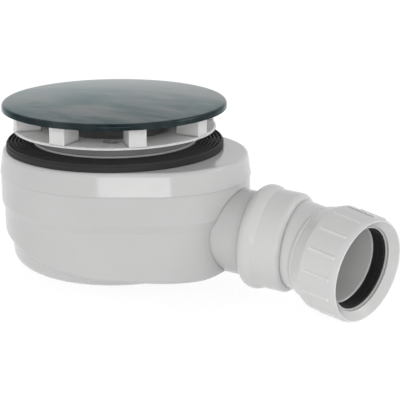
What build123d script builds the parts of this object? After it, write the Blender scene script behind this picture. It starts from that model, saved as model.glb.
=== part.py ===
from build123d import *
import os
from math import acos, atan, cos, degrees, radians, sin, tan

os.makedirs("parts", exist_ok=True)

# Shower trap. Z is the axis of the waste, Z = 0 is the underside of the shower tray,
# and the outlet leaves along +X. All sizes are millimetres and degrees.

# What the trap is made to fit
tray_hole_diameter = 90.0
tray_hole_clearance = 0.9
tray_space = 6.35
pipe_radius = 20.0
pipe_clearance = 0.2

# Walls and fits shared by several pieces
wall = 2.6
thin_wall = 1.8
loose_gap = 0.3
close_gap = 0.05
edge_break = 0.5

# Rubber seal under the tray
seal_radius = 58.3
seal_thickness = 4.0
ridge_count = 7
ridge_pitch = 2.0
ridge_width = 1.1
ridge_height = 1.2
ridge_side_angle = 78.0

# Body outline: a round end on the waste axis drawn out to a smaller round end
outlet_end_x = 25.8
bowl_round_radius = 61.6
bowl_outlet_radius = 49.5
tier_step = 1.3
seam_step = 0.4

# Body levels
body_top_z = -seal_thickness
seam_z = -15.6
ledge_top_z = -31.0
ledge_bottom_z = -35.5

# Lid
lid_draft = 8.8
lid_plate = 2.8
lid_edge_round = 2.2
lip_depth = 3.0
lip_root = 7.0
lip_wall = 1.6
collar_rise = 0.7
collar_depth = 12.0

# Bowl
floor_fall = 11.5
floor_outlet_fall = 2.5
floor_bend_x = 17.5
floor_under_outlet = 2.19
floor_bend_radius = 150.0
floor_tip_radius = 14.0
floor_round = 3.0
sump_drop = 5.1
sump_inset = 5.3
sump_round = 8.0
sump_draft = 2.5
sump_draft_z = -38.0
weir_gap = 0.9
weir_top_z = -24.0
weir_root = 1.3

# Flange
plate_radius = 54.2
plate_rim = 1.1
plate_hub = 3.0
throat_radius = 33.75
throat_wall = 2.15
throat_bottom_z = -3.2
throat_ledge = 1.6
throat_ledge_radius = 31.2
rib_count = 12
rib_start_angle = 15.0
rib_width = 1.5
rib_bottom_z = 2.6
locating_inset = 0.4
locating_wall = 1.2

# Screws and their inserts
screw_count = 3
screw_start_angle = -61.0
screw_circle_radius = 39.6
screw_radius = 2.5
screw_end_z = -17.0
head_radius = 4.3
head_height = 1.4
head_round = 0.7
head_seat_depth = 1.5
recess_length = 4.8
recess_width = 1.1
recess_depth = 1.0
insert_radius = 3.5
insert_length = 9.0
boss_radius = 4.5
boss_top_z = -3.6
boss_bottom_z = -20.0

# Dip tube and its ring
dip_radius = 30.5
dip_bottom_z = -54.0
dip_collar_top_z = 4.6
ring_section = 2.4
ring_z = 1.5
groove_height = 2.8
grip_count = 2
grip_width = 16.0
grip_depth = 2.2
grip_height = 2.0

# Cover and its carrier
cover_radius = 60.0
cover_gap = 10.2
cover_rim = 3.2
cover_edge_round = 1.3
cover_crown = 2.5
cover_wall = 1.5
spigot_radius = 33.0
spigot_drop = 3.0
carrier_width = 9.0
carrier_drop = 4.4
carrier_top_gap = 0.2
leg_count = 8
leg_start_angle = -1.6
leg_width = 8.9
leg_inner_radius = 40.7
leg_outer_radius = 53.8
leg_wall = 1.7
leg_foot = 2.0

# Outlet spigot and bend, with stations measured from the waste axis along the spigot
outlet_z = -36.86
outlet_fall = 3.56
spigot_outer_radius = 22.25
spigot_end_gap = 1.1
socket_mouth = 84.4
bead_crest = 89.5
bead_end = 94.7
shoulder_start = 105.3
shoulder_end = 108.2
bead_mouth_height = 1.05
bead_height = 5.1
bell_height = 3.6
shoulder_height = 0.65
lip_seal_start = 86.4
lip_seal_end = 92.4
lip_seal_height = 2.25
pivot_station = 108.9

# Bend's tail, with stations measured from the pivot along the tail
tail_yaw = 16.3
tail_fall = 5.73
passage_radius = 19.2
tail_root = -8.0
neck_radius = 22.55
stop_start = 11.0
stop_full = 13.6
stop_end = 14.7
stop_radius = 24.1
thread_root_radius = 22.6
tail_end = 31.0
pipe_stop = 14.0
mouth_chamfer = 0.6

# Compression nut, its slip ring and the rubber sleeve
nut_back = 15.0
nut_fold = 22.3
nut_back_radius = 24.3
nut_body_radius = 27.4
nut_nose_radius = 26.95
nut_bore_radius = 23.2
nut_seat_radius = 22.8
nut_seat_start = 32.4
nut_lip_back = 39.3
nut_lip_front = 40.0
nut_nose_start = 40.0
nut_nose_end = 43.8
nut_crest_radius = 25.8
nut_lip_radius = 21.9
nut_rib_count = 15
nut_rib_start_angle = 15.3
nut_rib_start = 24.0
nut_rib_end = 40.2
nut_rib_width = 2.6
nut_rib_height = 0.5
nut_rib_slope = 25.0
slip_ring_start = 38.2
slip_ring_radius = 21.0
sleeve_start = 31.2
sleeve_radius = 20.55
sleeve_ridge_count = 4
sleeve_ridge_width = 0.9
sleeve_ridge_side_angle = 65.0

# Sizes that follow from the ones above
collar_radius = tray_hole_diameter / 2 - tray_hole_clearance
lid_height = body_top_z - seam_z
tier_round_radius = bowl_round_radius - tier_step
tier_outlet_radius = bowl_outlet_radius - tier_step
ledge_height = ledge_top_z - ledge_bottom_z
ledge_draft = degrees(atan(tier_step / ledge_height))
plate_top_z = tray_space + plate_rim
cover_bottom_z = plate_top_z + cover_gap
cover_edge_z = cover_bottom_z + cover_rim
cover_under_z = cover_edge_z - cover_wall
carrier_top_z = cover_under_z + carrier_top_gap
throat_outer_radius = throat_radius + throat_wall
locating_radius = collar_radius - locating_inset
locating_bottom_z = collar_rise + loose_gap
rib_tip_radius = locating_radius - locating_wall - close_gap
floor_bend_z = outlet_z - spigot_outer_radius - floor_under_outlet
sump_bottom_z = floor_bend_z - sump_drop
sump_radius = bowl_round_radius - sump_inset
sump_draft_radius = sump_radius + sump_draft
sump_floor_z = sump_bottom_z + wall
weir_radius = sump_radius - wall - weir_gap
weir_foot_z = sump_floor_z + weir_root
spigot_start = outlet_end_x + (tier_outlet_radius**2 - spigot_outer_radius**2) ** 0.5 - 2 * wall
spigot_end = shoulder_start - spigot_end_gap
bead_mouth_radius = spigot_outer_radius + bead_mouth_height
bead_radius = spigot_outer_radius + bead_height
bell_radius = spigot_outer_radius + bell_height
shoulder_radius = spigot_outer_radius + shoulder_height
lip_seal_radius = spigot_outer_radius + lip_seal_height
pipe_socket_radius = pipe_radius + pipe_clearance
boss_insert_top_z = boss_top_z - edge_break

outlet_origin = Vector(0, 0, outlet_z)
outlet_direction = Vector(cos(radians(outlet_fall)), 0, -sin(radians(outlet_fall)))
outlet_axis = Axis(outlet_origin, outlet_direction)
outlet_section = Plane(outlet_origin, x_dir=outlet_direction, z_dir=(0, -1, 0))
outlet_cross = Plane(outlet_origin, x_dir=(0, -1, 0), z_dir=outlet_direction)

tail_level = cos(radians(tail_fall))
tail_direction = Vector(
    cos(radians(tail_yaw)) * tail_level,
    -sin(radians(tail_yaw)) * tail_level,
    -sin(radians(tail_fall)),
)
tail_side = Vector(-sin(radians(tail_yaw)), -cos(radians(tail_yaw)), 0)
pivot = outlet_origin + outlet_direction * pivot_station
tail_axis = Axis(pivot, tail_direction)
tail_section = Plane(pivot, x_dir=tail_direction, z_dir=tail_side)
tail_cross = Plane(pivot, x_dir=tail_side, z_dir=tail_direction)


def egg(round_radius, outlet_radius, mode=Mode.ADD):
    """Body outline in the current sketch: two round ends joined by their common tangents."""
    lean = acos((round_radius - outlet_radius) / outlet_end_x)
    round_x = round_radius * cos(lean)
    round_y = round_radius * sin(lean)
    outlet_x = outlet_end_x + outlet_radius * cos(lean)
    outlet_y = outlet_radius * sin(lean)
    with BuildLine() as outline:
        Line((round_x, -round_y), (outlet_x, -outlet_y))
        ThreePointArc((outlet_x, -outlet_y), (outlet_end_x + outlet_radius, 0), (outlet_x, outlet_y))
        Line((outlet_x, outlet_y), (round_x, round_y))
        ThreePointArc((round_x, round_y), (-round_radius, 0), (round_x, -round_y))
    make_face(outline.edges(), mode=mode)


def space_over_floor(rise):
    """Outline in the current sketch of all that lies over the bowl's floor, lifted by rise.

    The floor falls steeply from the back, then gently to the outlet, and is rounded at the tip.
    """
    back_x = -bowl_round_radius - wall
    tip_x = outlet_end_x + bowl_outlet_radius + wall
    bend_z = floor_bend_z + rise
    back_z = bend_z + (floor_bend_x - back_x) * tan(radians(floor_fall))
    tip_z = bend_z - (tip_x - floor_bend_x) * tan(radians(floor_outlet_fall))
    with BuildLine() as outline:
        FilletPolyline(
            (back_x, seam_z),
            (back_x, back_z),
            (floor_bend_x, bend_z),
            (tip_x, tip_z),
            (tip_x, seam_z),
            radius=(0, floor_bend_radius, floor_tip_radius),
        )
        Line((tip_x, seam_z), (back_x, seam_z))
    make_face(outline.edges())


# Tray seal
with BuildPart() as tray_seal:
    with BuildSketch(Plane.XZ):
        inner_radius = collar_radius + loose_gap
        with Locations((inner_radius, -seal_thickness)):
            Rectangle(
                seal_radius - inner_radius,
                seal_thickness - ridge_height,
                align=(Align.MIN, Align.MIN),
            )
        first_ridge = (inner_radius + seal_radius - ridge_pitch * (ridge_count - 1)) / 2
        for ridge in range(ridge_count):
            with Locations((first_ridge + ridge * ridge_pitch, -ridge_height)):
                Trapezoid(ridge_width, ridge_height, ridge_side_angle, align=(Align.CENTER, Align.MIN))
    revolve(axis=Axis.Z)
tray_seal.part.label = "tray_seal"
export_step(tray_seal.part, "parts/tray_seal.step")

# Lid of the body, with the collar that centres the seal and the bosses for the screws
with BuildPart() as trap_lid:
    with BuildSketch(Plane.XY.offset(seam_z)):
        egg(bowl_round_radius + seam_step, bowl_outlet_radius + seam_step)
    extrude(amount=lid_height, taper=lid_draft)
    fillet(trap_lid.faces().sort_by(Axis.Z)[-1].edges(), lid_edge_round)
    with BuildSketch(Plane.XY.offset(seam_z)):
        egg(bowl_round_radius + seam_step - wall, bowl_outlet_radius + seam_step - wall)
    extrude(amount=lid_height - lid_plate, taper=lid_draft, mode=Mode.SUBTRACT)
    with BuildSketch(Plane.XY.offset(seam_z - lip_depth)):
        lip_inset = wall + close_gap
        egg(bowl_round_radius - lip_inset, bowl_outlet_radius - lip_inset)
        lip_inset = wall + close_gap + lip_wall
        egg(bowl_round_radius - lip_inset, bowl_outlet_radius - lip_inset, mode=Mode.SUBTRACT)
    extrude(amount=lip_depth + lip_root)
    with BuildSketch(Plane.XY.offset(-collar_depth)):
        Circle(collar_radius)
    extrude(amount=collar_depth + collar_rise)
    chamfer(trap_lid.faces().sort_by(Axis.Z)[-1].edges(), edge_break)
    with BuildSketch(Plane.XY.offset(-collar_depth)):
        Circle(collar_radius - thin_wall)
    extrude(amount=collar_depth + collar_rise, mode=Mode.SUBTRACT)
    with BuildSketch(Plane.XY.offset(boss_bottom_z)):
        with PolarLocations(screw_circle_radius, screw_count, screw_start_angle):
            Circle(boss_radius)
    extrude(amount=boss_top_z - boss_bottom_z)
    with BuildSketch(Plane.XY.offset(boss_top_z)):
        with PolarLocations(screw_circle_radius, screw_count, screw_start_angle):
            Circle(insert_radius + close_gap)
    extrude(amount=-(insert_length + edge_break), mode=Mode.SUBTRACT)
    with BuildSketch(Plane.XY.offset(boss_top_z)):
        with PolarLocations(screw_circle_radius, screw_count, screw_start_angle):
            Circle(screw_radius + loose_gap)
    extrude(amount=screw_end_z - boss_top_z - edge_break, mode=Mode.SUBTRACT)
trap_lid.part.label = "trap_lid"
export_step(trap_lid.part, "parts/trap_lid.step")

# Hollow of the bowl
with BuildPart() as bowl_hollow:
    with BuildSketch(Plane.XY.offset(ledge_top_z)):
        egg(tier_round_radius - wall, tier_outlet_radius - wall)
    extrude(amount=sump_bottom_z - ledge_top_z)
    with BuildSketch(Plane.XZ):
        space_over_floor(wall)
    extrude(amount=bowl_round_radius + wall, both=True, mode=Mode.INTERSECT)
    fillet(bowl_hollow.faces().sort_by(Axis.Z)[0].edges(), floor_round - wall)
    with BuildSketch(Plane.XY.offset(ledge_top_z)):
        egg(bowl_round_radius - wall, bowl_outlet_radius - wall)
    extrude(amount=seam_z - ledge_top_z)
    with BuildSketch(Plane.XZ):
        with BuildLine():
            Polyline(
                (0, sump_draft_z),
                (sump_draft_radius - wall, sump_draft_z),
                (sump_radius - wall, sump_bottom_z + sump_round),
            )
            TangentArc(
                (sump_radius - sump_round, sump_floor_z),
                (sump_radius - wall, sump_bottom_z + sump_round),
                tangent=(1, 0),
            )
            Polyline(
                (sump_radius - sump_round, sump_floor_z),
                (0, sump_floor_z),
                (0, sump_draft_z),
            )
        make_face()
    revolve(axis=Axis.Z)

# Bowl with its ledge, sloping floor, round sump, weir and outlet spigot
with BuildPart() as trap_bowl:
    with BuildSketch(Plane.XY.offset(ledge_bottom_z)):
        egg(tier_round_radius, tier_outlet_radius)
    extrude(amount=sump_bottom_z - ledge_bottom_z)
    with BuildSketch(Plane.XZ):
        space_over_floor(0)
    extrude(amount=bowl_round_radius + wall, both=True, mode=Mode.INTERSECT)
    fillet(trap_bowl.faces().sort_by(Axis.Z)[0].edges(), floor_round)
    with BuildSketch(Plane.XY.offset(ledge_bottom_z)):
        egg(tier_round_radius, tier_outlet_radius)
    extrude(amount=ledge_height, taper=-ledge_draft)
    with BuildSketch(Plane.XY.offset(ledge_top_z)):
        egg(bowl_round_radius, bowl_outlet_radius)
    extrude(amount=seam_z - ledge_top_z)
    with BuildSketch(Plane.XZ):
        with BuildLine():
            Polyline(
                (0, sump_draft_z),
                (sump_draft_radius, sump_draft_z),
                (sump_radius, sump_bottom_z + sump_round),
            )
            TangentArc(
                (sump_radius - sump_round, sump_bottom_z),
                (sump_radius, sump_bottom_z + sump_round),
                tangent=(1, 0),
            )
            Polyline(
                (sump_radius - sump_round, sump_bottom_z),
                (0, sump_bottom_z),
                (0, sump_draft_z),
            )
        make_face()
    revolve(axis=Axis.Z)
    with BuildSketch(outlet_cross.offset(spigot_start)):
        Circle(spigot_outer_radius)
    extrude(amount=spigot_end - spigot_start)
    add(bowl_hollow.part, mode=Mode.SUBTRACT)
    with BuildSketch(outlet_cross.offset(spigot_start)):
        Circle(spigot_outer_radius - wall)
    extrude(amount=spigot_end - spigot_start, mode=Mode.SUBTRACT)
    with BuildSketch(Plane.XY.offset(weir_foot_z)):
        Circle(weir_radius + thin_wall)
        Circle(weir_radius, mode=Mode.SUBTRACT)
    extrude(amount=weir_top_z - weir_foot_z)
trap_bowl.part.label = "trap_bowl"
export_step(trap_bowl.part, "parts/trap_bowl.step")

# Flange that clamps the tray
with BuildPart() as waste_flange:
    with BuildSketch(Plane.XZ):
        with BuildLine():
            Polyline(
                (throat_radius + edge_break, plate_top_z),
                (plate_radius - edge_break, plate_top_z),
                (plate_radius, plate_top_z - edge_break),
                (plate_radius, tray_space),
                (throat_outer_radius, plate_top_z - plate_hub),
                (throat_outer_radius, throat_bottom_z),
                (throat_ledge_radius, throat_bottom_z),
                (throat_ledge_radius, throat_bottom_z + throat_ledge),
                (throat_radius, throat_bottom_z + throat_ledge),
                (throat_radius, plate_top_z - edge_break),
                close=True,
            )
        make_face()
    revolve(axis=Axis.Z)
    with BuildSketch(Plane.XY.offset(rib_bottom_z)):
        rib_middle = (throat_radius + edge_break + rib_tip_radius) / 2
        with PolarLocations(rib_middle, rib_count, rib_start_angle):
            Rectangle(rib_tip_radius - throat_radius - edge_break, rib_width)
    extrude(amount=tray_space - rib_bottom_z)
    with BuildSketch(Plane.XY.offset(plate_top_z)):
        with PolarLocations(screw_circle_radius, screw_count, screw_start_angle):
            Circle(head_radius + loose_gap)
    extrude(amount=-head_seat_depth, mode=Mode.SUBTRACT)
    with BuildSketch(Plane.XY.offset(plate_top_z)):
        with PolarLocations(screw_circle_radius, screw_count, screw_start_angle):
            Circle(screw_radius + loose_gap)
    extrude(amount=-plate_hub, mode=Mode.SUBTRACT)
waste_flange.part.label = "waste_flange"
export_step(waste_flange.part, "parts/waste_flange.step")

# Ring on the tips of the flange's ribs that centres the flange in the tray's hole
ring_inner_radius = locating_radius - locating_wall
ring_share = (ring_inner_radius - throat_outer_radius) / (plate_radius - throat_outer_radius)
plate_under_z = plate_top_z - plate_hub + ring_share * (plate_hub - plate_rim)
with BuildPart() as locating_ring:
    with BuildSketch(Plane.XY.offset(locating_bottom_z)):
        Circle(locating_radius)
        Circle(ring_inner_radius, mode=Mode.SUBTRACT)
    extrude(amount=plate_under_z - close_gap - locating_bottom_z)
locating_ring.part.label = "locating_ring"
export_step(locating_ring.part, "parts/locating_ring.step")

# Flange screws
head_seat_z = plate_top_z - head_seat_depth
with BuildPart() as flange_screws:
    with BuildSketch(Plane.XY.offset(head_seat_z)):
        with PolarLocations(screw_circle_radius, screw_count, screw_start_angle):
            Circle(head_radius)
    extrude(amount=head_height)
    fillet(flange_screws.faces().filter_by(Plane.XY).sort_by(Axis.Z)[-screw_count:].edges(), head_round)
    with BuildSketch(Plane.XY.offset(head_seat_z + head_height)):
        with PolarLocations(screw_circle_radius, screw_count, screw_start_angle):
            Rectangle(recess_length, recess_width)
            Rectangle(recess_width, recess_length)
    extrude(amount=-recess_depth, mode=Mode.SUBTRACT)
    with BuildSketch(Plane.XY.offset(head_seat_z)):
        with PolarLocations(screw_circle_radius, screw_count, screw_start_angle):
            Circle(screw_radius)
    extrude(amount=screw_end_z - head_seat_z)
    chamfer(flange_screws.faces().sort_by(Axis.Z)[:screw_count].edges(), edge_break)
flange_screws.part.label = "flange_screws"
export_step(flange_screws.part, "parts/flange_screws.step")

# Threaded inserts in the lid's bosses
with BuildPart() as screw_inserts:
    with BuildSketch(Plane.XY.offset(boss_insert_top_z)):
        with PolarLocations(screw_circle_radius, screw_count, screw_start_angle):
            Circle(insert_radius)
            Circle(screw_radius + close_gap, mode=Mode.SUBTRACT)
    extrude(amount=-insert_length)
screw_inserts.part.label = "screw_inserts"
export_step(screw_inserts.part, "parts/screw_inserts.step")

# Removable dip tube
dip_collar_radius = throat_radius - loose_gap
dip_seat_z = throat_bottom_z + throat_ledge
with BuildPart() as dip_tube:
    with BuildSketch(Plane.XZ):
        with BuildLine():
            Polyline(
                (dip_radius - thin_wall, dip_bottom_z),
                (dip_radius, dip_bottom_z),
                (dip_radius, dip_seat_z),
                (dip_collar_radius, dip_seat_z),
                (dip_collar_radius, ring_z - groove_height / 2),
                (throat_radius - ring_section - close_gap, ring_z - groove_height / 2),
                (throat_radius - ring_section - close_gap, ring_z + groove_height / 2),
                (dip_collar_radius, ring_z + groove_height / 2),
                (dip_collar_radius, dip_collar_top_z - edge_break),
                (dip_collar_radius - edge_break, dip_collar_top_z),
                (dip_radius - thin_wall, dip_collar_top_z),
                close=True,
            )
        make_face()
    revolve(axis=Axis.Z)
    with BuildSketch(Plane.XY.offset(dip_collar_top_z)):
        with PolarLocations(dip_radius - thin_wall, grip_count):
            Rectangle(2 * grip_depth, grip_width)
        Circle(dip_radius, mode=Mode.INTERSECT)
    extrude(amount=-grip_height)
dip_tube.part.label = "dip_tube"
export_step(dip_tube.part, "parts/dip_tube.step")

# O-ring on the dip tube
with BuildPart() as dip_tube_ring:
    with BuildSketch(Plane.XZ):
        with Locations((throat_radius - close_gap - ring_section / 2, ring_z)):
            Circle(ring_section / 2 - close_gap)
    revolve(axis=Axis.Z)
dip_tube_ring.part.label = "dip_tube_ring"
export_step(dip_tube_ring.part, "parts/dip_tube_ring.step")

# Domed cover with the spigot that its carrier clips onto
with BuildPart() as cover_plate:
    with BuildSketch(Plane.XZ):
        with BuildLine():
            Line((cover_radius - cover_wall, cover_bottom_z), (cover_radius, cover_bottom_z))
            Line((cover_radius, cover_bottom_z), (cover_radius, cover_edge_z - cover_edge_round))
            TangentArc(
                (cover_radius, cover_edge_z - cover_edge_round),
                (cover_radius - cover_edge_round, cover_edge_z),
                tangent=(0, 1),
            )
            TangentArc(
                (0, cover_edge_z + cover_crown),
                (cover_radius - cover_edge_round, cover_edge_z),
                tangent=(1, 0),
            )
            Line((0, cover_edge_z + cover_crown), (0, cover_under_z + cover_crown))
            TangentArc(
                (0, cover_under_z + cover_crown),
                (cover_radius - cover_wall, cover_under_z),
                tangent=(1, 0),
            )
            Line((cover_radius - cover_wall, cover_under_z), (cover_radius - cover_wall, cover_bottom_z))
        make_face()
        with Locations((spigot_radius, cover_under_z - spigot_drop)):
            Rectangle(thin_wall, spigot_drop + cover_crown, align=(Align.MAX, Align.MIN))
    revolve(axis=Axis.Z)
cover_plate.part.label = "cover_plate"
export_step(cover_plate.part, "parts/cover_plate.step")

# Carrier of the cover, with hollow legs that stand on the flange
with BuildPart() as cover_carrier:
    with BuildSketch(Plane.XY.offset(plate_top_z)):
        with PolarLocations((leg_inner_radius + leg_outer_radius) / 2, leg_count, leg_start_angle):
            Rectangle(leg_outer_radius - leg_inner_radius, leg_width)
    extrude(amount=carrier_top_z - plate_top_z)
    with BuildSketch(Plane.XY.offset(carrier_top_z)):
        Circle(spigot_radius + close_gap + carrier_width)
    extrude(amount=-carrier_drop)
    with BuildSketch(Plane.XY.offset(carrier_top_z)):
        Circle(spigot_radius + close_gap)
    extrude(amount=-carrier_drop, mode=Mode.SUBTRACT)
    with BuildSketch(Plane.XY.offset(plate_top_z + leg_foot)):
        pocket_start = spigot_radius + carrier_width + leg_wall
        pocket_end = leg_outer_radius - leg_wall
        with PolarLocations((pocket_start + pocket_end) / 2, leg_count, leg_start_angle):
            Rectangle(pocket_end - pocket_start, leg_width - 2 * leg_wall)
    extrude(amount=carrier_top_z - plate_top_z - leg_foot, mode=Mode.SUBTRACT)
cover_carrier.part.label = "cover_carrier"
export_step(cover_carrier.part, "parts/cover_carrier.step")

# Outlet bend: socket with a bead, shoulder, and threaded tail set at an angle
with BuildPart() as outlet_bend:
    with BuildSketch(outlet_section):
        with BuildLine():
            Line((socket_mouth, 0), (socket_mouth, bead_mouth_radius))
            TangentArc(
                (bead_crest, bead_radius),
                (socket_mouth, bead_mouth_radius),
                tangent=(-1, 0),
            )
            TangentArc((bead_crest, bead_radius), (bead_end, bell_radius), tangent=(1, 0))
            Line((bead_end, bell_radius), (shoulder_start, bell_radius))
            TangentArc(
                (shoulder_start, bell_radius),
                (shoulder_end, shoulder_radius),
                tangent=(1, 0),
            )
            Polyline((shoulder_end, shoulder_radius), (shoulder_end, 0), (socket_mouth, 0))
        make_face()
    revolve(axis=outlet_axis)
    with BuildSketch(tail_section):
        with BuildLine():
            Polyline(
                (tail_root, 0),
                (tail_root, neck_radius),
                (stop_start, neck_radius),
                (stop_full, stop_radius),
                (stop_end, stop_radius),
                (stop_end, thread_root_radius),
                (tail_end - edge_break, thread_root_radius),
                (tail_end, thread_root_radius - edge_break),
                (tail_end, 0),
                close=True,
            )
        make_face()
    revolve(axis=tail_axis)
    with BuildSketch(outlet_section):
        with BuildLine():
            socket_radius = spigot_outer_radius + loose_gap
            Polyline(
                (socket_mouth, 0),
                (socket_mouth, socket_radius),
                (lip_seal_start, socket_radius),
                (lip_seal_start, lip_seal_radius),
                (lip_seal_end, lip_seal_radius),
                (lip_seal_end, socket_radius),
                (shoulder_start, socket_radius),
                (shoulder_start, passage_radius),
                (pivot_station, passage_radius),
                (pivot_station, 0),
                close=True,
            )
        make_face()
    revolve(axis=outlet_axis, mode=Mode.SUBTRACT)
    with Locations(pivot):
        Sphere(passage_radius, mode=Mode.SUBTRACT)
    with BuildSketch(tail_section):
        with BuildLine():
            Polyline(
                (0, 0),
                (0, passage_radius),
                (pipe_stop, passage_radius),
                (pipe_stop, pipe_socket_radius),
                (tail_end - mouth_chamfer, pipe_socket_radius),
                (tail_end, pipe_socket_radius + mouth_chamfer),
                (tail_end, 0),
                close=True,
            )
        make_face()
    revolve(axis=tail_axis, mode=Mode.SUBTRACT)
outlet_bend.part.label = "outlet_bend"
export_step(outlet_bend.part, "parts/outlet_bend.step")

# Lip seal in the bead of the socket
with BuildPart() as socket_lip_seal:
    with BuildSketch(outlet_section):
        with BuildLine():
            seal_back = lip_seal_start + close_gap
            seal_front = lip_seal_end - close_gap
            seal_outer = lip_seal_radius - close_gap
            seal_middle = (spigot_outer_radius + lip_seal_radius) / 2
            lip_radius = spigot_outer_radius + loose_gap
            lip_start = seal_back + thin_wall
            Polyline(
                (seal_back, seal_outer),
                (seal_front, seal_outer),
                (seal_front, seal_outer - close_gap - edge_break),
                (lip_start + thin_wall, seal_middle),
                (seal_front - edge_break, lip_radius),
                (lip_start, lip_radius),
                (seal_back, seal_middle),
                close=True,
            )
        make_face()
    revolve(axis=outlet_axis)
socket_lip_seal.part.label = "socket_lip_seal"
export_step(socket_lip_seal.part, "parts/socket_lip_seal.step")

# Compression nut with its grip ribs
with BuildPart() as compression_nut:
    with BuildSketch(tail_section):
        with BuildLine():
            Line((nut_back, nut_bore_radius), (nut_back, nut_back_radius))
            Polyline(
                (nut_back, nut_back_radius),
                (nut_fold, nut_body_radius),
                (nut_nose_start, nut_nose_radius),
            )
            TangentArc(
                (nut_nose_start, nut_nose_radius),
                (nut_nose_end, nut_crest_radius),
                tangent=(1, 0),
            )
            Polyline(
                (nut_nose_end, nut_crest_radius),
                (nut_lip_front, nut_lip_radius),
                (nut_lip_back, nut_lip_radius),
                (nut_lip_back, nut_seat_radius),
                (nut_seat_start, nut_seat_radius),
                (nut_seat_start, nut_bore_radius),
                (nut_back, nut_bore_radius),
            )
        make_face()
    revolve(axis=tail_axis)
    rib_pitch_angle = 360 / nut_rib_count
    rib_angles = [nut_rib_start_angle + rib * rib_pitch_angle for rib in range(nut_rib_count)]
    rib_sides = [tail_side.rotate(tail_axis, angle) for angle in rib_angles]
    with BuildSketch(*[Plane(pivot, x_dir=tail_direction, z_dir=side) for side in rib_sides]):
        with BuildLine():
            rib_root = nut_bore_radius + thin_wall
            Polyline(
                (nut_rib_start, rib_root),
                (nut_rib_start, nut_body_radius),
                (nut_rib_start + nut_rib_height, nut_body_radius + nut_rib_height),
                (nut_rib_end - nut_rib_height, nut_nose_radius + nut_rib_height),
                (nut_rib_end, nut_nose_radius),
                (nut_rib_end, rib_root),
                close=True,
            )
        make_face()
    extrude(amount=nut_rib_width / 2, both=True, taper=nut_rib_slope)
compression_nut.part.label = "compression_nut"
export_step(compression_nut.part, "parts/compression_nut.step")

# Slip ring between the nut's lip and the sleeve
with BuildPart() as slip_ring:
    with BuildSketch(tail_cross.offset(slip_ring_start)):
        Circle(nut_seat_radius - loose_gap)
        Circle(slip_ring_radius, mode=Mode.SUBTRACT)
    extrude(amount=nut_lip_back - loose_gap - slip_ring_start)
slip_ring.part.label = "slip_ring"
export_step(slip_ring.part, "parts/slip_ring.step")

# Rubber sleeve that grips the pipe
with BuildPart() as pipe_seal:
    with BuildSketch(tail_section):
        sleeve_length = slip_ring_start - close_gap - sleeve_start
        with Locations((sleeve_start, sleeve_radius)):
            Rectangle(
                sleeve_length,
                nut_seat_radius - loose_gap - sleeve_radius,
                align=(Align.MIN, Align.MIN),
            )
        sleeve_pitch = sleeve_length / sleeve_ridge_count
        for ridge in range(sleeve_ridge_count):
            with Locations(Location((sleeve_start + (ridge + 0.5) * sleeve_pitch, sleeve_radius), 180)):
                Trapezoid(
                    sleeve_ridge_width,
                    sleeve_radius - pipe_socket_radius,
                    sleeve_ridge_side_angle,
                    align=(Align.CENTER, Align.MIN),
                )
    revolve(axis=tail_axis)
pipe_seal.part.label = "pipe_seal"
export_step(pipe_seal.part, "parts/pipe_seal.step")
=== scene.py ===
import math
import bpy
import bmesh
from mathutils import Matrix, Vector


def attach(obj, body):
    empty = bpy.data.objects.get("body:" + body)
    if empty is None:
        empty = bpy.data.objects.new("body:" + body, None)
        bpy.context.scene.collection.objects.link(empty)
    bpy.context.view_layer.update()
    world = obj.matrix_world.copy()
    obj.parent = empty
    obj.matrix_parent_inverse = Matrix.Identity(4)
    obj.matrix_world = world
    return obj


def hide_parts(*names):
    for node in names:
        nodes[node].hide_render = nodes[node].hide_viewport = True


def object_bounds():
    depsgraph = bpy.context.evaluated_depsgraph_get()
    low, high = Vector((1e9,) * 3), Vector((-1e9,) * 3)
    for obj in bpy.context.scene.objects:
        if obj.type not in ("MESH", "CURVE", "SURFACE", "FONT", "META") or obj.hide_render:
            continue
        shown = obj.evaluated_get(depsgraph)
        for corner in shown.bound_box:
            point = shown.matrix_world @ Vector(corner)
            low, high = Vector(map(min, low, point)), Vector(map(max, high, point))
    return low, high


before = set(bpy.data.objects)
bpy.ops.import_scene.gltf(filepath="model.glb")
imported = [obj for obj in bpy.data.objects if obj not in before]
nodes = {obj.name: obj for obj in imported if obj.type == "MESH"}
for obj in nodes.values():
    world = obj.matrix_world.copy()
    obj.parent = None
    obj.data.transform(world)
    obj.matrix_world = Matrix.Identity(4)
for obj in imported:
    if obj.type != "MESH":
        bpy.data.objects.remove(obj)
cad_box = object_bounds()

MM = 0.001

# Colours of the plain materials. The first three are one white plastic: the second and third are lighter as
# painted light, which lifts the outlet and the pieces in the shade under the cover.
WHITE = (0.503, 0.503, 0.500)
OUTLET_LIT_WHITE = (0.582, 0.582, 0.578)
GAP_LIT_WHITE = (0.625, 0.625, 0.621)
BARE = (0.80, 0.80, 0.79)
# The locating ring's grey is painted shade: the ring sits in the shade under the flange plate.
RING_SHADE_GREY = (0.235, 0.235, 0.233)
INSERT_WHITE = (0.56, 0.56, 0.555)
SLIP_WHITE = (0.58, 0.58, 0.57)
STEEL = (0.80, 0.79, 0.77)
BRASS = (0.62, 0.44, 0.17)
SEAL_BLACK = (0.021, 0.021, 0.0215)
RING_BLACK = (0.028, 0.028, 0.029)
SLEEVE_BLACK = (0.016, 0.016, 0.0165)

# Samples of the masks that look round a point
CREASE_SAMPLES = 16
EDGE_SAMPLES = 6

# How far down a face looks before it counts as an underside, from its normal's height
UNDERSIDE = (-0.75, -0.45)


def toned(colour, gain):
    """The colour lighter or darker by a gain, at most full white."""
    return tuple(min(1.0, c * gain) for c in colour)


def around(value, spread):
    """A span round a value."""
    return value + spread[0], value + spread[1]


def connect(tree, value, socket):
    """Links an output to a socket, or writes a plain value into it."""
    if isinstance(value, bpy.types.NodeSocket):
        tree.links.new(value, socket)
    else:
        socket.default_value = value


def math_node(tree, kind, a, b):
    """The result of one operation on outputs or plain numbers."""
    made = tree.nodes.new("ShaderNodeMath")
    made.operation = kind
    connect(tree, a, made.inputs[0])
    connect(tree, b, made.inputs[1])
    return made.outputs[0]


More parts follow.
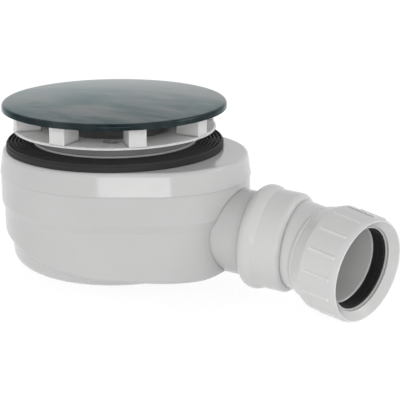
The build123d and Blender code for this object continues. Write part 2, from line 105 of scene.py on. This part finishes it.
class Tree:
    """A material's node tree, with short calls for the nodes that every finish uses."""

    def __init__(self, name):
        self.material = bpy.data.materials.new(name)
        self.material.use_nodes = True
        self.tree = self.material.node_tree
        self.tree.nodes.clear()
        output = self.node("ShaderNodeOutputMaterial")
        self.shader = self.node("ShaderNodeBsdfPrincipled")
        self.join(self.shader.outputs[0], output.inputs[0])
        self.place = self.node("ShaderNodeTexCoord").outputs["Object"]

    def node(self, kind, **values):
        made = self.tree.nodes.new(kind)
        for key, value in values.items():
            setattr(made, key, value)
        return made

    def join(self, a, b):
        self.tree.links.new(a, b)

    def set(self, **values):
        """Writes plain values into the shader's sockets."""
        for key, value in values.items():
            self.shader.inputs[key.replace("_", " ")].default_value = value

    def feed(self, **links):
        """Links outputs to the shader's sockets."""
        for key, value in links.items():
            self.join(value, self.shader.inputs[key.replace("_", " ")])

    def stretched(self, scale):
        """The object's coordinates, scaled apart along the axes."""
        mapping = self.node("ShaderNodeMapping")
        mapping.inputs["Scale"].default_value = scale
        self.join(self.place, mapping.inputs["Vector"])
        return mapping.outputs[0]

    def noise(self, scale, detail, rough, vector=None, distortion=0.0):
        """Noise with a scale per metre."""
        made = self.node("ShaderNodeTexNoise")
        made.inputs["Scale"].default_value = scale
        made.inputs["Detail"].default_value = detail
        made.inputs["Roughness"].default_value = rough
        made.inputs["Distortion"].default_value = distortion
        self.join(vector or self.place, made.inputs["Vector"])
        return made.outputs["Fac"]

    def ramp(self, value, span, to=(0.0, 1.0)):
        """The value's span carried over to another one, clamped at both ends."""
        made = self.node("ShaderNodeMapRange", clamp=True)
        made.inputs["From Min"].default_value = span[0]
        made.inputs["From Max"].default_value = span[1]
        made.inputs["To Min"].default_value = to[0]
        made.inputs["To Max"].default_value = to[1]
        self.join(value, made.inputs["Value"])
        return made.outputs["Result"]

    def mix(self, factor, a, b):
        """Colour a where the factor is 0, colour b where it is 1."""
        made = self.node("ShaderNodeMix", data_type="RGBA")
        for value, name in ((factor, "Factor"), (a, "A"), (b, "B")):
            socket = next(s for s in made.inputs if s.name == name and s.enabled)
            connect(self.tree, (*value, 1.0) if isinstance(value, tuple) else value, socket)
        return next(s for s in made.outputs if s.enabled)

    def math(self, kind, a, b):
        return math_node(self.tree, kind, a, b)

    def bump(self, height, strength, distance, normal=None):
        """A normal that is bumped by a height, over another bump if one is given."""
        made = self.node("ShaderNodeBump")
        made.inputs["Strength"].default_value = strength
        made.inputs["Distance"].default_value = distance
        self.join(height, made.inputs["Height"])
        if normal:
            self.join(normal, made.inputs["Normal"])
        return made.outputs[0]

    def crease(self, reach, span):
        """0 deep in a narrow crease, 1 on open faces: the mask for painted shade in creases."""
        made = self.node("ShaderNodeAmbientOcclusion", samples=CREASE_SAMPLES)
        made.inputs["Distance"].default_value = reach
        return self.ramp(made.outputs["AO"], span)

    def edge(self, width, span):
        """0 on smooth faces, 1 along sharp edges: the mask for painted highlights along edges."""
        soft = self.node("ShaderNodeBevel", samples=EDGE_SAMPLES)
        soft.inputs["Radius"].default_value = width
        true = self.node("ShaderNodeNewGeometry")
        turn = self.node("ShaderNodeVectorMath", operation="DOT_PRODUCT")
        self.join(soft.outputs[0], turn.inputs[0])
        self.join(true.outputs["Normal"], turn.inputs[1])
        return self.ramp(self.math("SUBTRACT", 1.0, turn.outputs["Value"]), span)

    def underside(self):
        """1 on faces that look down, 0 on the others."""
        parts = self.node("ShaderNodeSeparateXYZ")
        self.join(self.node("ShaderNodeTexCoord").outputs["Normal"], parts.inputs[0])
        return self.ramp(parts.outputs["Z"], UNDERSIDE, to=(1.0, 0.0))


# Moulded plastic: tones as gains on the colour, lengths in metres. Edge gains paint highlights along sharp edges,
# crease tones paint shade in narrow creases.
FLOW_TONES = (0.97, 1.02)
GRAIN_TONE = 0.86
GRAIN_SHARE = 0.06
EDGE_HIGHLIGHT_SPAN = (0.01, 0.12)
EDGE_THIN = 0.0004
EDGE_BROAD = 0.0009
CREASE_SHADE_REACH = 0.0014
CREASE_SHADE_SPAN = (0.55, 0.97)
SKIN_STRENGTH = 0.05
SKIN_DEPTH = 0.00003
WAVE_DEPTH = 0.0001
PLASTIC_GLOSS = (-0.02, 0.03)
PLASTIC_IOR = 1.49
GLOW_DEPTH = 0.003


def moulded_plastic(
    name, colour, rough, edge_highlight_gain=1.16, edge_width=EDGE_THIN, skin_gain=1.0, glow=0.0, crease_shade_tone=0.66
):
    """Injection-moulded plastic: faint flow clouds, fine grain, painted highlights along edges, painted shade in
    creases and a wavy skin.
    """
    t = Tree(name)
    clouds = t.noise(scale=22.0, detail=3.0, rough=0.55, distortion=0.6)
    grain = t.noise(scale=900.0, detail=3.0, rough=0.6)
    darker, lighter = (toned(colour, gain) for gain in FLOW_TONES)
    base = t.mix(t.ramp(clouds, (0.3, 0.7)), darker, lighter)
    base = t.mix(t.ramp(grain, (0.35, 0.75), to=(0.0, GRAIN_SHARE)), base, toned(colour, GRAIN_TONE))
    # Painted highlight: sharp edges are lighter.
    if edge_highlight_gain > 1.0:
        base = t.mix(t.edge(edge_width, EDGE_HIGHLIGHT_SPAN), base, toned(colour, edge_highlight_gain))
    # Painted shade: narrow creases are darker.
    base = t.mix(t.crease(CREASE_SHADE_REACH, CREASE_SHADE_SPAN), toned(colour, crease_shade_tone), base)
    skin = t.noise(scale=520.0, detail=2.0, rough=0.5)
    waves = t.noise(scale=70.0, detail=2.0, rough=0.5)
    gloss = t.noise(scale=160.0, detail=3.0, rough=0.6)
    strength = SKIN_STRENGTH * skin_gain
    t.feed(
        Base_Color=base,
        Roughness=t.ramp(gloss, (0.3, 0.7), to=around(rough, PLASTIC_GLOSS)),
        Normal=t.bump(skin, strength, SKIN_DEPTH, t.bump(waves, strength, WAVE_DEPTH)),
    )
    t.set(
        IOR=PLASTIC_IOR,
        Subsurface_Weight=glow,
        Subsurface_Radius=(1.0, 1.0, 1.0),
        Subsurface_Scale=GLOW_DEPTH,
    )
    return t.material


# Rubber
BLOOM_GAIN = 1.22
BLOOM_LIFT = 0.002
RUBBER_GRAIN_STRENGTH = 0.18
RUBBER_GRAIN_DEPTH = 0.00005
RUBBER_GLOSS = (-0.06, 0.08)
RUBBER_IOR = 1.5
RUBBER_SPECULAR = 0.22


def rubber(name, colour, rough):
    """Dark vulcanised rubber with a dry bloom and a slightly grainy skin."""
    t = Tree(name)
    bloom = t.noise(scale=60.0, detail=4.0, rough=0.6, distortion=0.4)
    grain = t.noise(scale=2200.0, detail=2.0, rough=0.6)
    bloomed = tuple(c * BLOOM_GAIN + BLOOM_LIFT for c in colour)
    t.feed(
        Base_Color=t.mix(t.ramp(bloom, (0.35, 0.7)), colour, bloomed),
        Roughness=t.ramp(bloom, (0.3, 0.75), to=around(rough, RUBBER_GLOSS)),
        Normal=t.bump(grain, RUBBER_GRAIN_STRENGTH, RUBBER_GRAIN_DEPTH),
    )
    t.set(IOR=RUBBER_IOR, Specular_IOR_Level=RUBBER_SPECULAR)
    return t.material


# Cover's plated finish: face-on colours, tints at a grazing view, and the clouds between the two of each. The
# light and dark clouds in colour and tint are a painted reflection.
PLATE_DARK = (0.006, 0.013, 0.015)
PLATE_LIGHT = (0.040, 0.051, 0.055)
TINT_DARK = (0.74, 0.84, 0.85)
TINT_LIGHT = (1.0, 1.0, 1.0)
CLOUD_STRETCH = (0.7, 1.9, 1.0)
CLOUD_SHARE = 0.65
CLOUD_STRENGTH = 0.09
CLOUD_DEPTH = 0.0006
WISP_STRETCH = (0.8, 2.2, 1.0)
WISP_SHARE = 0.35
FINE_STRENGTH = 0.02
FINE_DEPTH = 0.00002
PLATE_GLOSS = (0.14, 0.24)


def cover_finish():
    """Dark blue-grey plated finish with cloudy bumps and uneven gloss, and light and dark patches in its colour
    and edge tint that are a painted reflection. The underside is bare plastic.
    """
    t = Tree("cover_finish")
    clouds = t.noise(scale=16.0, detail=4.0, rough=0.55, vector=t.stretched(CLOUD_STRETCH), distortion=0.8)
    wisps = t.noise(scale=42.0, detail=5.0, rough=0.6, vector=t.stretched(WISP_STRETCH), distortion=1.2)
    fine = t.noise(scale=900.0, detail=2.0, rough=0.6)
    drift = t.math("ADD", t.math("MULTIPLY", clouds, CLOUD_SHARE), t.math("MULTIPLY", wisps, WISP_SHARE))
    # Painted reflection: cloudy light and dark patches in the colour and edge tint.
    reflection_patch = t.ramp(drift, (0.39, 0.61))
    bare = t.underside()
    t.feed(
        Base_Color=t.mix(bare, t.mix(reflection_patch, PLATE_DARK, PLATE_LIGHT), BARE),
        Metallic=t.math("SUBTRACT", 1.0, bare),
        Specular_Tint=t.mix(reflection_patch, TINT_DARK, TINT_LIGHT),
        Roughness=t.ramp(drift, (0.34, 0.66), to=PLATE_GLOSS),
        Normal=t.bump(fine, FINE_STRENGTH, FINE_DEPTH, t.bump(clouds, CLOUD_STRENGTH, CLOUD_DEPTH)),
    )
    return t.material


# Turned metal
MARK_STRETCH = (1.0, 1.0, 14.0)
MARK_TONE = 0.82
MARK_STRENGTH = 0.10
MARK_DEPTH = 0.00005
SCRATCH_STRETCH = (1.0, 6.0, 1.0)
METAL_GLOSS = (-0.06, 0.10)


def turned_metal(name, colour, rough, turns):
    """Metal with fine turning marks round each piece and light scratches."""
    t = Tree(name)
    marks = t.noise(scale=turns, detail=3.0, rough=0.6, vector=t.stretched(MARK_STRETCH))
    scratches = t.noise(scale=380.0, detail=4.0, rough=0.65, vector=t.stretched(SCRATCH_STRETCH))
    t.feed(
        Base_Color=t.mix(t.ramp(marks, (0.35, 0.65)), toned(colour, MARK_TONE), colour),
        Roughness=t.ramp(scratches, (0.3, 0.7), to=around(rough, METAL_GLOSS)),
        Normal=t.bump(marks, MARK_STRENGTH, MARK_DEPTH),
    )
    t.set(Metallic=1.0)
    return t.material


# The flange and the carrier are thin and clean, and light comes through them a little
THIN = {"edge_highlight_gain": 1.0, "skin_gain": 0.4, "glow": 0.6}
# The bend and the nut get stronger painted highlights along their edges and lighter painted shade in their
# creases.
BEND = {"edge_highlight_gain": 1.26, "edge_width": EDGE_BROAD, "crease_shade_tone": 0.80}
NUT = {"edge_highlight_gain": 1.45, "edge_width": EDGE_BROAD, "crease_shade_tone": 0.74}

FINISHES = {
    "cover_plate": cover_finish(),
    "cover_carrier": moulded_plastic("carrier_plastic", GAP_LIT_WHITE, rough=0.34, **THIN),
    "waste_flange": moulded_plastic("flange_plastic", GAP_LIT_WHITE, rough=0.34, **THIN),
    "locating_ring": moulded_plastic("ring_plastic", RING_SHADE_GREY, rough=0.34, edge_highlight_gain=1.0),
    "trap_lid": moulded_plastic("lid_plastic", WHITE, rough=0.15),
    "trap_bowl": moulded_plastic("bowl_plastic", WHITE, rough=0.18),
    "outlet_bend": moulded_plastic("bend_plastic", OUTLET_LIT_WHITE, rough=0.20, **BEND),
    "compression_nut": moulded_plastic("nut_plastic", OUTLET_LIT_WHITE, rough=0.24, **NUT),
    "dip_tube": moulded_plastic("insert_plastic", INSERT_WHITE, rough=0.38),
    "slip_ring": moulded_plastic("slip_plastic", SLIP_WHITE, rough=0.40),
    "flange_screws": turned_metal("stainless", STEEL, rough=0.42, turns=160.0),
    "screw_inserts": turned_metal("brass", BRASS, rough=0.32, turns=120.0),
    "tray_seal": rubber("seal_rubber", SEAL_BLACK, rough=0.60),
    "dip_tube_ring": rubber("ring_rubber", RING_BLACK, rough=0.50),
    "pipe_seal": rubber("sleeve_rubber", SLEEVE_BLACK, rough=0.60),
}
FINISHES["socket_lip_seal"] = FINISHES["dip_tube_ring"]

for name, material in FINISHES.items():
    slots = nodes[name].material_slots
    for place in slots:
        place.link = "OBJECT"
        place.material = material
    if not slots:
        nodes[name].data.materials.append(material)


def add(name, data):
    """A new object in the scene."""
    made = bpy.data.objects.new(name, data)
    bpy.context.scene.collection.objects.link(made)
    return made


def solid(name, body):
    """A new piece from a bmesh, which is freed."""
    mesh = bpy.data.meshes.new(name)
    body.to_mesh(mesh)
    body.free()
    return add(name, mesh)


# Tail thread: the tail's place and axis, taken from the part in metres, and the ridge in mm along the axis and
# from it
TAIL_PIVOT = Vector((0.10869, 0.0, -0.043622))
TAIL_AXIS = Vector((0.955010, -0.279264, -0.099841)).normalized()
THREAD_ROOT = 22.6
THREAD_CREST = 23.05
THREAD_START = 17.0
THREAD_END = 29.6
THREAD_PITCH = 4.0
THREAD_FOOT = 1.3
THREAD_TIP = 0.5
THREAD_STEPS = 48
FOOT_SUNK = 0.2
RUN_OUT_SUNK = 0.15
RUN_OUTS_PER_TURN = 3.0
RUN_OUT_LEAST = 0.02


def tail_frame():
    """Two directions square to the tail's axis."""
    side = TAIL_AXIS.cross(Vector((0, 0, 1))).normalized()
    return side, side.cross(TAIL_AXIS).normalized()


def thread(name):
    """A helical thread ridge round the tail, which runs out into the tail at both ends."""
    side, lift = tail_frame()
    length = THREAD_END - THREAD_START
    turns = length / THREAD_PITCH
    count = int(turns * THREAD_STEPS)
    low = THREAD_ROOT - RUN_OUT_SUNK
    foot = THREAD_ROOT - FOOT_SUNK
    body = bmesh.new()
    rows = []
    for i in range(count + 1):
        along = i / count
        angle = 2 * math.pi * turns * along
        station = THREAD_START + length * along
        fade = min(1.0, along * turns * RUN_OUTS_PER_TURN, (1 - along) * turns * RUN_OUTS_PER_TURN)
        top = low + (THREAD_CREST - low) * max(fade, RUN_OUT_LEAST)
        out = side * math.cos(angle) + lift * math.sin(angle)
        section = ((-THREAD_FOOT, foot), (-THREAD_TIP, top), (THREAD_TIP, top), (THREAD_FOOT, foot))
        row = []
        for shift, radius in section:
            point = TAIL_PIVOT + TAIL_AXIS * ((station + shift) * MM) + out * (radius * MM)
            row.append(body.verts.new(point))
        rows.append(row)
    corners = len(rows[0])
    for a, b in zip(rows, rows[1:]):
        for k in range(corners):
            n = (k + 1) % corners
            body.faces.new((a[k], b[k], b[n], a[n]))
    body.faces.new(rows[0])
    body.faces.new(list(reversed(rows[-1])))
    bmesh.ops.recalc_face_normals(body, faces=body.faces)
    return solid(name, body)


tail_thread = thread("tail_thread")
tail_thread.data.materials.append(FINISHES["outlet_bend"])
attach(tail_thread, "bend")

# Cover, in mm: the same form as the solid, with an even skin and an edge that runs smoothly into the dome
COVER_RADIUS = 60.0
COVER_WALL = 1.5
COVER_BOTTOM = 17.65
COVER_UNDER = 19.35
COVER_TOP = 23.35
COVER_CROWN = 2.5
COVER_ROUND = 1.7
DOME_RADIUS = 690.4
CLIP_RADIUS = 33.0
CLIP_WALL = 1.8
CLIP_BOTTOM = 16.35
DOME_RINGS = 24
ROUND_STEPS = 10
COVER_SEGMENTS = 192
SHARP_TURN = math.radians(30)


def dome_height(radius, top):
    """Height of a dome at a distance from the axis."""
    return top - DOME_RADIUS + math.sqrt(DOME_RADIUS**2 - radius**2)


def cover_profile():
    """The cover's section as radius and height, from the middle of its top to the middle of its underside."""
    reach = DOME_RADIUS - COVER_ROUND
    centre_radius = COVER_RADIUS - COVER_ROUND
    centre_height = COVER_TOP - DOME_RADIUS + math.sqrt(reach**2 - centre_radius**2)
    lean = math.asin(centre_radius / reach)
    edge = DOME_RADIUS * math.sin(lean)
    points = []
    for i in range(DOME_RINGS):
        radius = edge * i / DOME_RINGS
        points.append((radius, dome_height(radius, COVER_TOP)))
    for i in range(ROUND_STEPS + 1):
        turn = (math.pi / 2 - lean) * (1 - i / ROUND_STEPS)
        radius = centre_radius + COVER_ROUND * math.cos(turn)
        points.append((radius, centre_height + COVER_ROUND * math.sin(turn)))
    inside = COVER_RADIUS - COVER_WALL
    under = COVER_UNDER + COVER_CROWN
    clip_inside = CLIP_RADIUS - CLIP_WALL
    points += [
        (COVER_RADIUS, COVER_BOTTOM),
        (inside, COVER_BOTTOM),
        (inside, dome_height(inside, under)),
        (CLIP_RADIUS, dome_height(CLIP_RADIUS, under)),
        (CLIP_RADIUS, CLIP_BOTTOM),
        (clip_inside, CLIP_BOTTOM),
        (clip_inside, dome_height(clip_inside, under)),
        (0.0, under),
    ]
    return points


def lathe(name, profile, segments, sharp):
    """A closed solid of revolution about Z from a section in mm. Edges that turn by more than sharp stay crisp."""
    angles = [2 * math.pi * k / segments for k in range(segments)]
    body = bmesh.new()
    rings = []
    for radius, height in profile:
        if radius == 0.0:
            rings.append([body.verts.new((0.0, 0.0, height * MM))] * segments)
            continue
        ring = []
        for a in angles:
            ring.append(body.verts.new((radius * MM * math.cos(a), radius * MM * math.sin(a), height * MM)))
        rings.append(ring)
    for a, b in zip(rings, rings[1:]):
        for k in range(segments):
            n = (k + 1) % segments
            body.faces.new(list(dict.fromkeys((a[k], b[k], b[n], a[n]))))
    bmesh.ops.recalc_face_normals(body, faces=body.faces)
    for face in body.faces:
        face.smooth = True
    for line in body.edges:
        line.smooth = line.calc_face_angle(0.0) < sharp
    return solid(name, body)


cover_skin = lathe("cover_skin", cover_profile(), COVER_SEGMENTS, SHARP_TURN)
cover_skin.data.materials.append(FINISHES["cover_plate"])
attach(cover_skin, "trap")
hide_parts("cover_plate")


def seen_directly(tree):
    """1 for rays from the camera, a mirror or through glass, 0 for light that falls on the object."""
    path = tree.nodes.new("ShaderNodeLightPath").outputs
    seen = math_node(tree, "MAXIMUM", path["Is Camera Ray"], path["Is Glossy Ray"])
    return math_node(tree, "MAXIMUM", seen, path["Is Transmission Ray"])


def plain_nodes(owner):
    """Clears a material's or world's node tree and returns it."""
    owner.use_nodes = True
    owner.node_tree.nodes.clear()
    return owner.node_tree


# Floor: plain, pale and matte, just under the object. Seen directly it is nearly white and keeps a faint shadow.
FLOOR_GAP = 0.0002
FLOOR_REACH = 6.0
FLOOR_COLOUR = (0.84, 0.84, 0.84, 1)
FLOOR_GLOW = 0.22
SEEN_SHARE = 0.78
SEEN_GLOW = 1.14

floor_z = cad_box[0][2] - FLOOR_GAP
floor_mesh = bpy.data.meshes.new("floor")
floor_mesh.from_pydata(
    [(x * FLOOR_REACH, y * FLOOR_REACH, floor_z) for x, y in ((-1, -1), (1, -1), (1, 1), (-1, 1))],
    [],
    [(0, 1, 2, 3)],
)
floor = add("floor", floor_mesh)

floor_look = bpy.data.materials.new("floor")
tree = plain_nodes(floor_look)
matte = tree.nodes.new("ShaderNodeBsdfDiffuse")
matte.inputs["Color"].default_value = FLOOR_COLOUR
direct = seen_directly(tree)
hidden = math_node(tree, "SUBTRACT", 1.0, direct)
lift = tree.nodes.new("ShaderNodeEmission")
tree.links.new(math_node(tree, "MULTIPLY", hidden, FLOOR_GLOW), lift.inputs["Strength"])
table = tree.nodes.new("ShaderNodeAddShader")
tree.links.new(matte.outputs[0], table.inputs[0])
tree.links.new(lift.outputs[0], table.inputs[1])
bright = tree.nodes.new("ShaderNodeEmission")
bright.inputs["Strength"].default_value = SEEN_GLOW
seen = tree.nodes.new("ShaderNodeMixShader")
tree.links.new(math_node(tree, "MULTIPLY", direct, SEEN_SHARE), seen.inputs[0])
tree.links.new(table.outputs[0], seen.inputs[1])
tree.links.new(bright.outputs[0], seen.inputs[2])
out = tree.nodes.new("ShaderNodeOutputMaterial")
tree.links.new(seen.outputs[0], out.inputs[0])
floor_mesh.materials.append(floor_look)


def smooth_step(tree, value, low, high):
    """0 below low, 1 above high and smooth between them."""
    made = tree.nodes.new("ShaderNodeMapRange")
    made.interpolation_type = "SMOOTHSTEP"
    made.inputs["From Min"].default_value = low
    made.inputs["From Max"].default_value = high
    tree.links.new(value, made.inputs["Value"])
    return made.outputs["Result"]


def sky(tree, height, zenith, horizon):
    """Even light of the zenith's level, with more of it towards the horizon."""
    low = math_node(tree, "SUBTRACT", 1.0, height)
    glow = math_node(tree, "MULTIPLY", math_node(tree, "POWER", low, 2.0), horizon)
    return math_node(tree, "ADD", glow, zenith)


# World: soft light from all round with a broad band of it over the front, and white where it is seen directly.
# FRONT is the camera's side. Skies are zenith and horizon, the other pairs are where a change starts and ends.
FRONT = math.radians(27.5)
FRONT_EDGE = (-0.45, 0.05)
FRONT_SKY = (0.20, 0.50)
BACK_SKY = (0.54, 0.67)
BAND = 2.2
BAND_LOW = (0.16, 0.24)
BAND_HIGH = (0.46, 0.58)
SEEN_WHITE = 1.0

world = bpy.data.worlds.new("studio")
bpy.context.scene.world = world
tree = plain_nodes(world)
way = tree.nodes.new("ShaderNodeTexCoord")
parts = tree.nodes.new("ShaderNodeSeparateXYZ")
tree.links.new(way.outputs["Generated"], parts.inputs[0])
height = math_node(tree, "MAXIMUM", parts.outputs["Z"], 0.0)
towards = math_node(
    tree,
    "ADD",
    math_node(tree, "MULTIPLY", parts.outputs["X"], math.sin(FRONT)),
    math_node(tree, "MULTIPLY", parts.outputs["Y"], -math.cos(FRONT)),
)
front = smooth_step(tree, towards, *FRONT_EDGE)
band = math_node(
    tree,
    "MULTIPLY",
    smooth_step(tree, height, *BAND_LOW),
    math_node(tree, "SUBTRACT", 1.0, smooth_step(tree, height, *BAND_HIGH)),
)
ahead = math_node(tree, "ADD", sky(tree, height, *FRONT_SKY), math_node(tree, "MULTIPLY", band, BAND))
behind = sky(tree, height, *BACK_SKY)
level = math_node(
    tree,
    "ADD",
    math_node(tree, "MULTIPLY", ahead, front),
    math_node(tree, "MULTIPLY", behind, math_node(tree, "SUBTRACT", 1.0, front)),
)
soft = tree.nodes.new("ShaderNodeBackground")
tree.links.new(level, soft.inputs["Strength"])
white = tree.nodes.new("ShaderNodeBackground")
white.inputs["Strength"].default_value = SEEN_WHITE
for shade in (soft, white):
    shade.inputs["Color"].default_value = (1, 1, 1, 1)
pick = tree.nodes.new("ShaderNodeMixShader")
tree.links.new(seen_directly(tree), pick.inputs[0])
tree.links.new(soft.outputs[0], pick.inputs[1])
tree.links.new(white.outputs[0], pick.inputs[2])
out = tree.nodes.new("ShaderNodeOutputWorld")
tree.links.new(pick.outputs[0], out.inputs[0])

# Lamps: what they face, in metres
LAMP_TARGET = Vector((0.03, 0, -0.03))


def softbox(name, azimuth, elevation, distance, width, height, radiance):
    """A rectangular studio light that faces the object. Azimuth 0 is the -Y side, angles are in degrees."""
    a = math.radians(azimuth)
    e = math.radians(elevation)
    way = Vector((math.sin(a) * math.cos(e), -math.cos(a) * math.cos(e), math.sin(e)))
    light = bpy.data.lights.new(name, "AREA")
    light.shape = "RECTANGLE"
    light.size = width
    light.size_y = height
    light.energy = radiance * math.pi * width * height
    lamp = add(name, light)
    lamp.location = LAMP_TARGET + way * distance
    lamp.rotation_euler = way.to_track_quat("Z", "Y").to_euler()
    lamp.visible_camera = False


softbox("front_box", azimuth=28.6, elevation=1.7, distance=1.1, width=0.62, height=0.10, radiance=5.4)
softbox("side_box", azimuth=118.0, elevation=34.0, distance=1.2, width=0.5, height=0.4, radiance=2.0)

# Camera at the photograph's angle, fitted to the photograph's circles
CAMERA_PLACE = (0.34346, -0.56048, 0.15727)
CAMERA_TURN = (math.radians(73.658), 0.0, math.radians(27.523))
CAMERA_LENS = 112.5
CAMERA_SENSOR = 36.0
CAMERA_NEAR = 0.01

lens = bpy.data.cameras.new("camera")
lens.lens = CAMERA_LENS
lens.sensor_width = CAMERA_SENSOR
lens.sensor_fit = "HORIZONTAL"
lens.clip_start = CAMERA_NEAR
camera = add("camera", lens)
camera.location = CAMERA_PLACE
camera.rotation_euler = CAMERA_TURN
bpy.context.scene.camera = camera

bpy.context.scene.view_settings.view_transform = "Standard"
